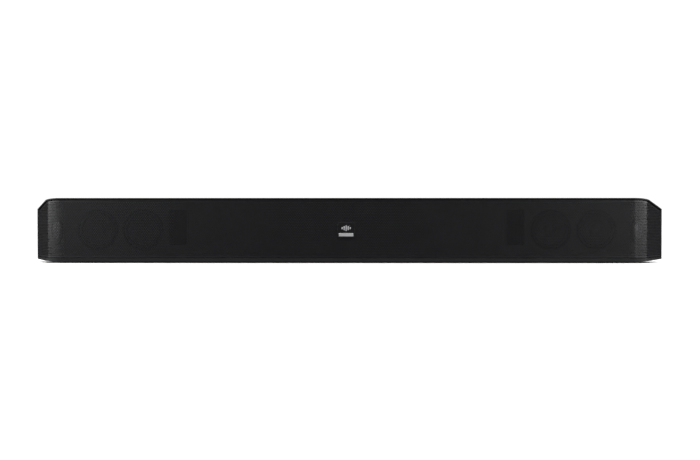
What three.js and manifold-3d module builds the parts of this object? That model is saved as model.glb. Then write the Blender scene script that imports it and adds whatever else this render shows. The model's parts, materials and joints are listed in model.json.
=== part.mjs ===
// Soundbar: a long, low loudspeaker cabinet behind a wrap-round metal grille. It holds four woofers,
// two tweeters on the angled corners and two bass ports, with the electronics in the middle.
// Millimetres, +Z up, the front faces -Y. X = 0 is the middle and the feet stand on Z = 0.
import * as THREE from 'three';
import { mergeVertices } from 'three/addons/utils/BufferGeometryUtils.js';
import Module from 'manifold-3d';

const wasm = await Module();
wasm.setup();
const { PI, cos, sin, tan } = Math;
const degrees = THREE.MathUtils.degToRad;

// ---------- Driving dimensions ----------

// Cabinet
const WIDTH = 940; // across the back, where the bar is widest
const DEPTH = 92;
const HEIGHT = 94.4; // floor to the top front edge
const FOOT_HEIGHT = 2.2; // air gap under the cabinet
const TOP_TILT = degrees(10); // the top falls away towards the back
const SPLAY = degrees(22.5); // the ends open out towards the back
const CORNER_RADIUS = 26; // upright front corners
const BACK_CORNER_RADIUS = 4;
const WALL = 3;
const TOP_WALL = 3.2;
const REAR_WALL = 4;
const TOP_LIP = 2; // rims that frame the grille above and below
const BOTTOM_LIP = 4.8;
const END_RISE_X = 425; // beyond here the underside turns up a little towards the ends
const END_RISE = 2;
const FIT = 0.3; // clearance between pieces that meet

// Grille and badge
const GRILLE_INSET = 1.6;
const GRILLE_SHEET = 1;
const GRILLE_GAP = 1.2; // shadow line between the grille and the rims
const GRILLE_END_Y = 39;
const BADGE_Z = 47.4;
const BADGE_WIDTH = 25;
const BADGE_HEIGHT = 22.5;

// Baffle, tweeter corners and what is mounted on them
const BAFFLE_SETBACK = 7;
const BAFFLE_WALL = 4.2;
const END_WALL_INSET = 6;
const DRIVER_Z = 48;
const WOOFER_X = [-362, -296, 296, 362];
const WOOFER_RADIUS = 30;
const TWEETER_X = 428;
const TWEETER_Y = -22;
const TWEETER_ANGLE = degrees(48); // how far each tweeter turns outwards
const TWEETER_RADIUS = 22;
const TWEETER_PROUD = 1.2;
const PORT_X = 245;
const PORT_Z = 52;
const PORT_WIDTH = 26;
const PORT_HEIGHT = 52;
const PORT_WALL = 2;
const PORT_LENGTH = 37;
const CHAMBER_WALL_X = 224.5;

// Rear: connector bay and wall fixings
const BAY_HALF_WIDTH = 95;
const BAY_LOW = 18;
const BAY_HIGH = 62;
const BAY_FLOOR_Y = 26.3;
const PANEL_THICKNESS = 2;
const JACK_Z = 40;
const INLET_X = 66;
const SWITCH_X = 36;
const RCA_X = [-2, -16];
const AUX_X = -38;
const OPTICAL_X = -62;
const ROCKER_TILT = degrees(7);
const KEYHOLE_X = 300;
const KEYHOLE_Z = 46;
const SCREW_X = 435;
const SCREW_Z = [18, 62];

// Top buttons, in a frame that lies on the sloping top
const BUTTON_Y = 4;
const BUTTON_X = { power: -39, source: -13, volume_down: 13, volume_up: 39 };
const BUTTON_WIDTH = 16;
const BUTTON_DEPTH = 9;
const BUTTON_PROUD = 0.8;

// Feet
const FOOT_X = 380;
const FOOT_Y = 28;
const FOOT_RADIUS = 8;

const ROUND = 16; // sides of the driver circles
const SMALL_ROUND = 10; // sides of jacks, motors, feet and screws

// ---------- Places worked out from them ----------

const FRONT_Y = -DEPTH / 2;
const BACK_Y = DEPTH / 2;
const BASE_Z = FOOT_HEIGHT;
const CORNER_Y = FRONT_Y + CORNER_RADIUS;
const BACK_CORNER_Y = BACK_Y - BACK_CORNER_RADIUS;
const CORNER_X = WIDTH / 2 - BACK_CORNER_RADIUS
  - (CORNER_RADIUS - BACK_CORNER_RADIUS) / cos(SPLAY)
  - (BACK_CORNER_Y - CORNER_Y) * tan(SPLAY);
const BAFFLE_Y = FRONT_Y + BAFFLE_SETBACK;
const PANEL_Y = BAY_FLOOR_Y + 0.1;
const PANEL_FACE_Y = PANEL_Y + PANEL_THICKNESS;

// Half-width at depth y of the splayed end, set in from the outside by inset.
function sideX(y, inset) {
  return CORNER_X + (CORNER_RADIUS - inset) / cos(SPLAY) + (y - CORNER_Y) * tan(SPLAY);
}

function topZ(y) {
  return HEIGHT - (y - FRONT_Y) * tan(TOP_TILT);
}

// x at depth y on the angled corner face, set back by depth from the front of the tweeter.
function chamferX(y, depth) {
  return TWEETER_X + ((y - TWEETER_Y) * cos(TWEETER_ANGLE) - depth) / sin(TWEETER_ANGLE);
}

// Where the angled corner face runs into the end wall.
const CHAMFER_END_Y = (sideX(0, END_WALL_INSET) - chamferX(0, TWEETER_PROUD))
  / (1 / tan(TWEETER_ANGLE) - tan(SPLAY));

// ---------- Solids ----------

// A clean closed mesh: shared vertices merged, slivers dropped and its faces pointing out.
function closed(geometry) {
  const bare = geometry.clone();
  bare.deleteAttribute('normal');
  bare.deleteAttribute('uv');
  const merged = mergeVertices(bare, 1e-3);
  const index = merged.index.array;
  const corner = (n) => new THREE.Vector3().fromBufferAttribute(merged.attributes.position, n);
  const kept = [];
  let volume = 0;
  for (let i = 0; i < index.length; i += 3) {
    const [a, b, c] = [index[i], index[i + 1], index[i + 2]];
    if (a === b || b === c || c === a) continue;
    kept.push([a, b, c]);
    volume += corner(a).dot(corner(b).cross(corner(c)));
  }
  merged.setIndex(kept.flatMap(([a, b, c]) => (volume > 0 ? [a, b, c] : [a, c, b])));
  merged.computeVertexNormals();
  return merged;
}

function toSolid(geometry) {
  const clean = closed(geometry);
  return new wasm.Manifold(new wasm.Mesh({
    numProp: 3,
    vertProperties: new Float32Array(clean.attributes.position.array),
    triVerts: new Uint32Array(clean.index.array),
  }));
}

function toGeometry(solid) {
  const { vertProperties, triVerts } = solid.getMesh();
  const geometry = new THREE.BufferGeometry();
  geometry.setAttribute('position', new THREE.BufferAttribute(vertProperties, 3));
  geometry.setIndex(new THREE.BufferAttribute(triVerts, 1));
  geometry.computeVertexNormals();
  return geometry;
}

// An upright block with a plan outline, between two heights.
function slab(shape, low, high, curveSegments = 4) {
  const options = { depth: high - low, bevelEnabled: false, curveSegments };
  return toSolid(new THREE.ExtrudeGeometry(shape, options).translate(0, 0, low));
}

// A block with an outline seen from the front, between two depths.
function plate(shape, front, back, curveSegments = 1) {
  const options = { depth: back - front, bevelEnabled: false, curveSegments };
  return toSolid(new THREE.ExtrudeGeometry(shape, options).rotateX(PI / 2).translate(0, back, 0));
}

function box(low, high) {
  const size = high.map((value, i) => value - low[i]);
  const middle = high.map((value, i) => (value + low[i]) / 2);
  return toSolid(new THREE.BoxGeometry(...size).translate(...middle));
}

// A round bar along Y between two depths.
function barY(x, z, radius, front, back, sides = SMALL_ROUND) {
  const geometry = new THREE.CylinderGeometry(radius, radius, back - front, sides);
  return toSolid(geometry.translate(x, (front + back) / 2, z));
}

// A round post along Z between two heights.
function post(x, y, radius, low, high, sides = SMALL_ROUND) {
  const geometry = new THREE.CylinderGeometry(radius, radius, high - low, sides);
  return toSolid(geometry.rotateX(PI / 2).translate(x, y, (low + high) / 2));
}

// Cuts away all that is above the sloping top, lowered by drop.
function underTop(solid, drop) {
  const above = new THREE.BoxGeometry(WIDTH * 2, DEPTH * 4, HEIGHT * 2).translate(0, 0, HEIGHT);
  above.rotateX(-TOP_TILT).translate(0, FRONT_Y, HEIGHT - drop);
  return solid.subtract(toSolid(above));
}

// A turned piece about the Y axis from [radius, depth] pairs.
function turned(profile, sides = ROUND) {
  return closed(new THREE.LatheGeometry(profile.map(([r, y]) => new THREE.Vector2(r, y)), sides));
}

function closedRing(profile) {
  return [...profile, profile[0]];
}

// ---------- Outlines ----------

function cabinetOutline(inset) {
  const shape = new THREE.Shape();
  const backX = sideX(BACK_CORNER_Y, BACK_CORNER_RADIUS + inset);
  shape.absarc(CORNER_X, CORNER_Y, CORNER_RADIUS - inset, -PI / 2, -SPLAY, false);
  shape.absarc(backX, BACK_CORNER_Y, BACK_CORNER_RADIUS, -SPLAY, PI / 2, false);
  shape.absarc(-backX, BACK_CORNER_Y, BACK_CORNER_RADIUS, PI / 2, PI + SPLAY, false);
  shape.absarc(-CORNER_X, CORNER_Y, CORNER_RADIUS - inset, PI + SPLAY, PI * 1.5, false);
  return shape;
}

// A left-right symmetric outline from the points of its right half.
function symmetric(half) {
  const right = half.map(([x, y]) => new THREE.Vector2(x, y));
  const left = half.map(([x, y]) => new THREE.Vector2(-x, y)).reverse();
  return new THREE.Shape([...right, ...left]);
}

function roundedRect(x, z, width, height, radius, Kind = THREE.Shape) {
  const path = new Kind();
  const [dx, dz] = [width / 2 - radius, height / 2 - radius];
  path.absarc(x + dx, z - dz, radius, -PI / 2, 0, false);
  path.absarc(x + dx, z + dz, radius, 0, PI / 2, false);
  path.absarc(x - dx, z + dz, radius, PI / 2, PI, false);
  path.absarc(x - dx, z - dz, radius, PI, PI * 1.5, false);
  path.closePath();
  return path;
}

// ---------- Materials ----------

const material = (color, roughness, metalness = 0) =>
  new THREE.MeshStandardMaterial({ color, roughness, metalness });
const BLACK_PLASTIC = material(0x1b1b1d, 0.55);
const BAFFLE_PLASTIC = material(0x121213, 0.7);
const GRILLE_PAINT = material(0x2b2b2e, 0.45, 0.6);
const BRIGHT_METAL = material(0xb9babd, 0.3, 1);
const STEEL = material(0x8a8b8f, 0.4, 1);
const FERRITE = material(0x3a3a3d, 0.7, 0.2);
const PAPER = material(0x1d1d1f, 0.85);
const RUBBER = material(0x151516, 0.8);
const SILK = material(0x2a2a2d, 0.5);
const CIRCUIT_BOARD = material(0x1f4a30, 0.6);
const ALUMINIUM = material(0x9a9ca0, 0.45, 1);
const COPPER = material(0x9a5a32, 0.4, 0.6);
const BUTTON_PLASTIC = material(0x27272a, 0.5);

const soundbar = new THREE.Group();

function add(name, geometry, look, parent = soundbar) {
  const mesh = new THREE.Mesh(geometry, look);
  mesh.name = name;
  parent.add(mesh);
  return mesh;
}

// ---------- The frame that lies on the sloping top, at the buttons ----------

const topFrame = new THREE.Group();
topFrame.position.set(0, BUTTON_Y, topZ(BUTTON_Y));
topFrame.rotation.x = -TOP_TILT;
soundbar.add(topFrame);
const TOP_SKIN = TOP_WALL * cos(TOP_TILT);
const BUTTON_FLANGE = 0.8;
const BUTTON_FLANGE_Z = -TOP_SKIN - FIT;
const BUTTON_TRAVEL = 1;
const SWITCH_TOP_Z = BUTTON_FLANGE_Z - BUTTON_FLANGE - BUTTON_TRAVEL - 0.1;
const BUTTON_BOARD_Z = SWITCH_TOP_Z - 1.8;
const BUTTON_BOARD_HALF = 57;

function onTop(solid) {
  topFrame.updateMatrix();
  return toSolid(toGeometry(solid).applyMatrix4(topFrame.matrix));
}

// ---------- Rear cabinet ----------

function grilleChannel() {
  const far = WIDTH;
  const shape = symmetric([
    [far, -far],
    [far, GRILLE_END_Y + 1],
    [sideX(GRILLE_END_Y + 1, END_WALL_INSET), GRILLE_END_Y + 1],
    [sideX(CHAMFER_END_Y, END_WALL_INSET), CHAMFER_END_Y],
    [chamferX(BAFFLE_Y - FIT, TWEETER_PROUD - FIT), BAFFLE_Y - FIT],
  ]);
  return underTop(slab(shape, BASE_Z + BOTTOM_LIP, HEIGHT + 1), TOP_LIP);
}

function cabinetHollow() {
  const inner = END_WALL_INSET + WALL;
  const shape = symmetric([
    [chamferX(BAFFLE_Y - FIT, TWEETER_PROUD - FIT), BAFFLE_Y - FIT],
    [sideX(CHAMFER_END_Y, END_WALL_INSET), CHAMFER_END_Y],
    [sideX(CHAMFER_END_Y, inner), CHAMFER_END_Y],
    [sideX(BACK_Y - REAR_WALL, inner), BACK_Y - REAR_WALL],
  ]);
  return underTop(slab(shape, BASE_Z + WALL, HEIGHT + 1), TOP_WALL);
}

const BOARD_Z = 12;
const BOARD_FRONT_Y = -30;
const BOARD_BACK_Y = 38;
const BOARD_INNER_X = 106;
const BOARD_OUTER_X = 216;
const BOARD_THICKNESS = 1.6;

function boardBosses() {
  const solids = [];
  for (const side of [-1, 1]) {
    for (const x of [BOARD_INNER_X + 6, BOARD_OUTER_X - 6]) {
      for (const y of [BOARD_FRONT_Y + 6, BOARD_BACK_Y - 6]) {
        solids.push(post(side * x, y, 3.5, BASE_Z + WALL - 1, BOARD_Z - 0.1, 8));
      }
    }
  }
  return solids;
}

const KEYHOLE_PLATE = [24, 44, 1.5]; // width, height, thickness
const KEYHOLE_POCKET = [18, 36, 11.5];

// A wedge that takes the underside up towards one end.
function endWedge(side) {
  const shape = new THREE.Shape([[END_RISE_X, 0], [WIDTH / 2, 0], [WIDTH / 2, END_RISE]]
    .map(([x, z]) => new THREE.Vector2(side * x, BASE_Z + z)));
  return plate(shape, FRONT_Y - 1, BACK_Y + 1);
}

function rearCabinet() {
  let body = underTop(slab(cabinetOutline(0), BASE_Z, HEIGHT + 1), 0);
  for (const side of [-1, 1]) body = body.subtract(endWedge(side));
  body = body.subtract(grilleChannel()).subtract(cabinetHollow());

  const bayMiddle = (BAY_LOW + BAY_HIGH) / 2;
  const bayHeight = BAY_HIGH - BAY_LOW;
  const bayShell = roundedRect(0, bayMiddle, (BAY_HALF_WIDTH + 2.5) * 2, bayHeight + 5, 4);
  const bayHollow = roundedRect(0, bayMiddle, BAY_HALF_WIDTH * 2, bayHeight, 2.5);
  const bayWindow = roundedRect(0, bayMiddle, BAY_HALF_WIDTH * 2 - 18, bayHeight - 8, 2);
  body = body.add(plate(bayShell, BAY_FLOOR_Y - 2.8, BACK_Y - 1));
  body = body.subtract(plate(bayHollow, BAY_FLOOR_Y, BACK_Y + 1));
  body = body.subtract(plate(bayWindow, 0, BACK_Y));

  for (const boss of boardBosses()) body = body.add(boss);
  for (const x of [-BUTTON_BOARD_HALF + 4, BUTTON_BOARD_HALF - 4]) {
    body = body.add(onTop(post(x, 0, 3, BUTTON_BOARD_Z + 0.1, -1, 8)));
  }
  for (const x of Object.values(BUTTON_X)) {
    const hole = roundedRect(x, 0, BUTTON_WIDTH + 0.7, BUTTON_DEPTH + 0.7, 2);
    body = body.subtract(onTop(slab(hole, -6, 3, 2)));
  }

  for (const side of [-1, 1]) {
    const x = side * KEYHOLE_X;
    const [width, height, thickness] = KEYHOLE_PLATE;
    const [pocketWidth, pocketHeight, pocketDepth] = KEYHOLE_POCKET;
    const recessY = BACK_Y - thickness - 0.1;
    const cup = roundedRect(x, KEYHOLE_Z, pocketWidth + 5, pocketHeight + 5, 2);
    const pocket = roundedRect(x, KEYHOLE_Z, pocketWidth, pocketHeight, 1);
    const recess = roundedRect(x, KEYHOLE_Z, width + 2 * FIT, height + 2 * FIT, 2.2);
    body = body.add(plate(cup, recessY - pocketDepth - 2.5, BACK_Y - 1));
    body = body.subtract(plate(pocket, recessY - pocketDepth, BACK_Y));
    body = body.subtract(plate(recess, recessY, BACK_Y + 1));
    for (const z of SCREW_Z) {
      body = body.subtract(barY(side * SCREW_X, z, 4, BACK_Y - 2.6, BACK_Y + 1));
      body = body.subtract(barY(side * SCREW_X, z, 1.9, BACK_Y - 8, BACK_Y));
    }
    for (const y of [-FOOT_Y, FOOT_Y]) {
      body = body.subtract(post(side * FOOT_X, y, FOOT_RADIUS + 0.4, BASE_Z - 1, BASE_Z + 1, 12));
    }
  }
  return body;
}

add('rear_cabinet', toGeometry(rearCabinet()), BLACK_PLASTIC);

// ---------- Front baffle ----------

const RECESS_DEPTH = 1.6;
const TWEETER_HOLE_RADIUS = 16.8;
const GRILLE_REST_X = [40, 150, 329]; // posts that hold the grille off the baffle
const GRILLE_REST_Z = [16, 80];

function tweeterPlace(side) {
  const turn = new THREE.Matrix4().makeRotationZ(side * TWEETER_ANGLE);
  return turn.setPosition(side * TWEETER_X, TWEETER_Y, DRIVER_Z);
}

function frontBaffle() {
  const end = CHAMFER_END_Y - FIT;
  const back = BAFFLE_Y + BAFFLE_WALL;
  const inner = TWEETER_PROUD + BAFFLE_WALL;
  const shape = symmetric([
    [chamferX(BAFFLE_Y, TWEETER_PROUD), BAFFLE_Y],
    [chamferX(end, TWEETER_PROUD), end],
    [chamferX(end, inner), end],
    [chamferX(back, inner), back],
  ]);
  let body = underTop(slab(shape, BASE_Z + WALL + FIT, HEIGHT + 1), TOP_WALL + FIT);
  const outside = BAFFLE_Y - 5;
  for (const x of WOOFER_X) {
    body = body.subtract(barY(x, DRIVER_Z, WOOFER_RADIUS - 1.4, outside, BAFFLE_Y + 9, ROUND));
    body = body.subtract(barY(x, DRIVER_Z, WOOFER_RADIUS + FIT, outside, BAFFLE_Y + RECESS_DEPTH, ROUND));
  }
  for (const side of [-1, 1]) {
    const [width, height] = [PORT_WIDTH + 2 * PORT_WALL, PORT_HEIGHT + 2 * PORT_WALL];
    const port = roundedRect(side * PORT_X, PORT_Z, width + 2 * FIT, height + 2 * FIT, 5.3);
    body = body.subtract(plate(port, outside, BAFFLE_Y + 9));
    const seat = barY(0, 0, TWEETER_RADIUS + FIT, -5, 3.2, ROUND);
    const hole = barY(0, 0, TWEETER_HOLE_RADIUS, -5, 12, ROUND);
    for (const cut of [seat, hole]) {
      body = body.subtract(toSolid(toGeometry(cut).applyMatrix4(tweeterPlace(side))));
    }
    const restY = FRONT_Y + GRILLE_INSET + GRILLE_SHEET + FIT;
    for (const x of GRILLE_REST_X) {
      for (const z of GRILLE_REST_Z) {
        body = body.add(barY(side * x, z, 3, restY, BAFFLE_Y + 1, 8));
      }
    }
  }
  return body;
}

add('front_baffle', toGeometry(frontBaffle()), BAFFLE_PLASTIC);

// ---------- Grille and badge ----------

const GRILLE_FACE_Y = FRONT_Y + GRILLE_INSET;
const BADGE_PIN_X = [-8, 8];

function grille() {
  const low = BASE_Z + BOTTOM_LIP + GRILLE_GAP;
  let sheet = slab(cabinetOutline(GRILLE_INSET), low, HEIGHT + 1, 5);
  sheet = sheet.subtract(slab(cabinetOutline(GRILLE_INSET + GRILLE_SHEET), 0, HEIGHT + 2, 5));
  sheet = sheet.subtract(box([-WIDTH, GRILLE_END_Y, -1], [WIDTH, DEPTH, HEIGHT + 3]));
  for (const x of BADGE_PIN_X) {
    sheet = sheet.subtract(barY(x, BADGE_Z, 1.6, FRONT_Y, FRONT_Y + 5, 8));
  }
  return underTop(sheet, TOP_LIP + GRILLE_GAP);
}

add('grille', toGeometry(grille()), GRILLE_PAINT);

const BADGE_FACE_Y = FRONT_Y + 0.4;
const BADGE_BAR = [21, 4.8]; // width and height of the bright bar set into the plate
const BADGE_BAR_Z = BADGE_Z - 6.4;

function badgePlate() {
  const outline = roundedRect(0, BADGE_Z, BADGE_WIDTH, BADGE_HEIGHT, 1.5);
  let body = plate(outline, BADGE_FACE_Y, GRILLE_FACE_Y - 0.1);
  const recess = roundedRect(0, BADGE_BAR_Z, BADGE_BAR[0] + 0.4, BADGE_BAR[1] + 0.4, 0.8);
  body = body.subtract(plate(recess, FRONT_Y - 1, BADGE_FACE_Y + 0.4));
  for (const x of BADGE_PIN_X) {
    body = body.add(barY(x, BADGE_Z, 1.2, GRILLE_FACE_Y - 0.5, GRILLE_FACE_Y + GRILLE_SHEET + 1.2, 8));
  }
  return body;
}

add('badge_plate', toGeometry(badgePlate()), BAFFLE_PLASTIC);
const barOutline = roundedRect(0, BADGE_BAR_Z, ...BADGE_BAR, 0.6);
add('badge_bar', toGeometry(plate(barOutline, FRONT_Y, BADGE_FACE_Y + 0.3)), BRIGHT_METAL);

// ---------- Woofers ----------
// Profiles are [radius, depth behind the baffle face].

const BASKET = closedRing([
  [27.1, 0], [30, 0], [30, 1.5], [28.3, 1.5], [27, 7],
  [16, 22], [9.8, 22], [9.8, 20.8], [15.3, 20.8], [25.8, 6.6],
]);
const SURROUND = closedRing([
  [21.9, 1.6], [22.7, -0.4], [24.25, -1.2], [25.8, -0.4],
  [26.6, 1.6], [25.5, 0.9], [24.25, 0.1], [23, 0.9],
]);
const CONE = [
  [0, 7], [5, 8.2], [9, 12.2], [21, 1.6], [21.6, 2.2], [8.8, 14.6],
  [8.8, 29], [8, 29], [8, 13.4], [4.5, 9.6], [0, 8.4],
];
const MOTOR = [
  [0, 22.1], [7.3, 22.1], [7.3, 33], [9.4, 33], [9.4, 22.1], [17, 22.1],
  [17, 25.1], [19, 25.1], [19, 35.1], [17, 35.1], [17, 38.1], [0, 38.1],
];
const WOOFER_NAMES = ['outer_left', 'inner_left', 'inner_right', 'outer_right'];

WOOFER_X.forEach((x, i) => {
  const woofer = new THREE.Group();
  woofer.position.set(x, BAFFLE_Y, DRIVER_Z);
  soundbar.add(woofer);
  const name = `woofer_${WOOFER_NAMES[i]}`;
  add(`${name}_basket`, turned(BASKET), STEEL, woofer);
  add(`${name}_surround`, turned(SURROUND), RUBBER, woofer);
  add(`${name}_cone`, turned(CONE), PAPER, woofer);
  add(`${name}_motor`, turned(MOTOR, 12), FERRITE, woofer);
});

// ---------- Tweeters ----------
// Profiles are [radius, depth behind the front of the faceplate].

const FACEPLATE = closedRing([[13.4, 1.6], [20.5, 0], [22, 0.8], [22, 3], [13.4, 3]]);
const DOME = [
  [0, -0.4], [4, 0.3], [7.6, 2], [10, 4.4], [11.6, 2.9], [13, 4], [13, 4.5],
  [10.3, 4.9], [10.3, 9], [9.7, 9], [9.7, 4.9], [5, 1.5], [0, 0.5],
];
const TWEETER_MOTOR = [
  [0, 5.6], [9.2, 5.6], [9.2, 11], [11, 11], [11, 5.6], [13.5, 5.6],
  [13.5, 3.1], [16, 3.1], [16, 16], [14, 18], [0, 18],
];

for (const [side, label] of [[-1, 'left'], [1, 'right']]) {
  const tweeter = new THREE.Group();
  tweeter.applyMatrix4(tweeterPlace(side));
  soundbar.add(tweeter);
  add(`tweeter_${label}_faceplate`, turned(FACEPLATE), BAFFLE_PLASTIC, tweeter);
  add(`tweeter_${label}_dome`, turned(DOME, 12), SILK, tweeter);
  add(`tweeter_${label}_motor`, turned(TWEETER_MOTOR, 12), FERRITE, tweeter);
}

// ---------- Bass ports and chamber walls ----------

for (const [side, label] of [[-1, 'left'], [1, 'right']]) {
  const x = side * PORT_X;
  const outline = roundedRect(x, PORT_Z, PORT_WIDTH + 2 * PORT_WALL, PORT_HEIGHT + 2 * PORT_WALL, 5);
  outline.holes.push(roundedRect(x, PORT_Z, PORT_WIDTH, PORT_HEIGHT, 3, THREE.Path));
  const tube = plate(outline, BAFFLE_Y, BAFFLE_Y + PORT_LENGTH);
  add(`port_tube_${label}`, toGeometry(tube), BAFFLE_PLASTIC);

  const middle = side * CHAMBER_WALL_X;
  const low = [middle - 1.5, BAFFLE_Y + BAFFLE_WALL + FIT, BASE_Z + WALL + FIT];
  const high = [middle + 1.5, BACK_Y - REAR_WALL - FIT, HEIGHT];
  add(`chamber_wall_${label}`, toGeometry(underTop(box(low, high), TOP_WALL + FIT)), BLACK_PLASTIC);
}

// ---------- Electronics ----------

const BOARD_TOP_Z = BOARD_Z + BOARD_THICKNESS;

function amplifierBoard() {
  let body = box([-BOARD_OUTER_X, BOARD_FRONT_Y, BOARD_Z], [-BOARD_INNER_X, BOARD_BACK_Y, BOARD_TOP_Z]);
  body = body.add(box([-206, -24, BOARD_Z + 1], [-192, -6, 24])); // output filter coils
  body = body.add(box([-184, -24, BOARD_Z + 1], [-170, -6, 24]));
  body = body.add(box([-150, -22, BOARD_Z + 1], [-128, -4, 16])); // processor
  for (const y of [8, 24]) body = body.add(post(-114, y, 4, BOARD_Z + 1, 26, 10)); // capacitors
  return body;
}

function heatsink() {
  const [left, right, front, back] = [-196, -126, 4, 32];
  const low = BOARD_TOP_Z + FIT;
  const fins = 7;
  const fin = 2;
  const shape = new THREE.Shape([new THREE.Vector2(left, low), new THREE.Vector2(right, low)]);
  const pitch = (right - left - fin) / (fins - 1);
  for (let i = fins - 1; i >= 0; i -= 1) {
    const x = left + i * pitch;
    shape.lineTo(x + fin, 44);
    shape.lineTo(x, 44);
    if (i > 0) {
      shape.lineTo(x, low + 4);
      shape.lineTo(x - pitch + fin, low + 4);
    }
  }
  return plate(shape, front, back);
}

function powerSupplyBoard() {
  let body = box([BOARD_INNER_X, BOARD_FRONT_Y, BOARD_Z], [BOARD_OUTER_X, BOARD_BACK_Y, BOARD_TOP_Z]);
  for (const x of [188, 206]) {
    body = body.add(post(x, 14, 7.5, BOARD_Z + 1, 42, 12)); // smoothing capacitors
  }
  body = body.add(box([184, -26, BOARD_Z + 1], [210, -12, 26])); // mains filter
  body = body.add(box([112, -24, BOARD_Z + 1], [128, -8, 20])); // fuse and relay
  return body;
}

function powerTransformer() {
  const low = BOARD_TOP_Z + FIT;
  const core = box([138, -14, low], [172, 16, low + 26]);
  const winding = post(155, 1, 13, low + 1, low + 30, 12);
  return core.add(winding);
}

add('amplifier_board', toGeometry(amplifierBoard()), CIRCUIT_BOARD);
add('amplifier_heatsink', toGeometry(heatsink()), ALUMINIUM);
add('power_supply_board', toGeometry(powerSupplyBoard()), CIRCUIT_BOARD);
add('power_transformer', toGeometry(powerTransformer()), COPPER);

function remoteReceiverBoard() {
  const board = box([74, BAFFLE_Y - 1.3, 41], [108, BAFFLE_Y - 0.1, 53]);
  return board.add(plate(roundedRect(91, 47, 8, 8, 2), BAFFLE_Y - 3.3, BAFFLE_Y - 1));
}

add('remote_receiver_board', toGeometry(remoteReceiverBoard()), CIRCUIT_BOARD);

// ---------- Connector panel and what is on it ----------

const INLET_BODY = [22, 15];
const SWITCH_BODY = [20, 14];
const JACK_BACK_Y = 12;

function connectorPanel() {
  const middle = (BAY_LOW + BAY_HIGH) / 2;
  const outline = roundedRect(0, middle, BAY_HALF_WIDTH * 2 - 0.8, BAY_HIGH - BAY_LOW - 0.8, 2.2);
  let body = plate(outline, PANEL_Y, PANEL_FACE_Y);
  const window = (x, width, height, radius) => {
    const shape = roundedRect(x, JACK_Z, width + 2 * FIT, height + 2 * FIT, radius);
    body = body.subtract(plate(shape, PANEL_Y - 1, PANEL_FACE_Y + 1));
  };
  window(INLET_X, ...INLET_BODY, 3.3);
  window(SWITCH_X, ...SWITCH_BODY, 1);
  window(OPTICAL_X, 9.6, 9.6, 1);
  for (const x of RCA_X) body = body.subtract(barY(x, JACK_Z, 4.6, PANEL_Y - 1, PANEL_FACE_Y + 1));
  return body.subtract(barY(AUX_X, JACK_Z, 4.3, PANEL_Y - 1, PANEL_FACE_Y + 1));
}

function powerInlet() {
  const face = PANEL_FACE_Y + 1.6;
  const floor = face - 13;
  let body = plate(roundedRect(INLET_X, JACK_Z, ...INLET_BODY, 3), JACK_BACK_Y, PANEL_FACE_Y + 0.5);
  body = body.add(plate(roundedRect(INLET_X, JACK_Z, 27, 20, 3), PANEL_FACE_Y + 0.1, face));
  for (const side of [-1, 1]) {
    body = body.subtract(barY(INLET_X + side * 3.6, JACK_Z, 4.3, floor, face + 1));
  }
  body = body.subtract(box([INLET_X - 3.6, floor, JACK_Z - 3.4], [INLET_X + 3.6, face + 1, JACK_Z + 3.4]));
  for (const side of [-1, 1]) {
    body = body.add(barY(INLET_X + side * 4, JACK_Z, 1.2, floor - 1, floor + 8, 8));
  }
  return body;
}

function powerSwitchHousing() {
  const face = PANEL_FACE_Y + 1.3;
  let body = plate(roundedRect(SWITCH_X, JACK_Z, ...SWITCH_BODY, 0.8), JACK_BACK_Y, PANEL_FACE_Y + 0.5, 2);
  body = body.add(plate(roundedRect(SWITCH_X, JACK_Z, 23, 17, 1.2), PANEL_FACE_Y + 0.1, face));
  return body.subtract(plate(roundedRect(SWITCH_X, JACK_Z, 17.4, 11.4, 0.5), 16, face + 1));
}

// The rocker, lying about its pivot, before it is tilted to its off position.
const ROCKER_PIVOT_Y = PANEL_FACE_Y - 1.2;
function powerRocker() {
  const shape = symmetric([[1, -3], [3, -3], [7.8, 0.5], [7.8, 4.2], [0.5, 2.8]]);
  const height = 10.8;
  return slab(shape, -height / 2, height / 2);
}

function opticalJack() {
  const face = PANEL_FACE_Y + 0.6;
  let body = box([OPTICAL_X - 6.5, JACK_BACK_Y, JACK_Z - 6], [OPTICAL_X + 6.5, PANEL_Y - 0.1, JACK_Z + 6]);
  body = body.add(plate(roundedRect(OPTICAL_X, JACK_Z, 9.6, 9.6, 0.8), PANEL_Y - 2, face));
  return body.subtract(box([OPTICAL_X - 3.3, 20, JACK_Z - 3.3], [OPTICAL_X + 3.3, face + 1, JACK_Z + 3.3]));
}

function auxJack() {
  const face = PANEL_FACE_Y + 1;
  let body = box([AUX_X - 6, JACK_BACK_Y, JACK_Z - 6], [AUX_X + 6, PANEL_Y - 0.1, JACK_Z + 6]);
  body = body.add(barY(AUX_X, JACK_Z, 3.9, PANEL_Y - 2, face));
  return body.subtract(barY(AUX_X, JACK_Z, 1.8, 16, face + 1, 10));
}

function rcaJackBlock() {
  const face = PANEL_FACE_Y + 7.6;
  const [low, high] = [Math.min(...RCA_X) - 7, Math.max(...RCA_X) + 7];
  let body = box([low, JACK_BACK_Y, JACK_Z - 8], [high, PANEL_Y - 0.1, JACK_Z + 8]);
  for (const x of RCA_X) {
    body = body.add(barY(x, JACK_Z, 4.1, PANEL_Y - 2, face));
    body = body.subtract(barY(x, JACK_Z, 1.8, PANEL_Y, face + 1, 10));
  }
  return body;
}

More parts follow.
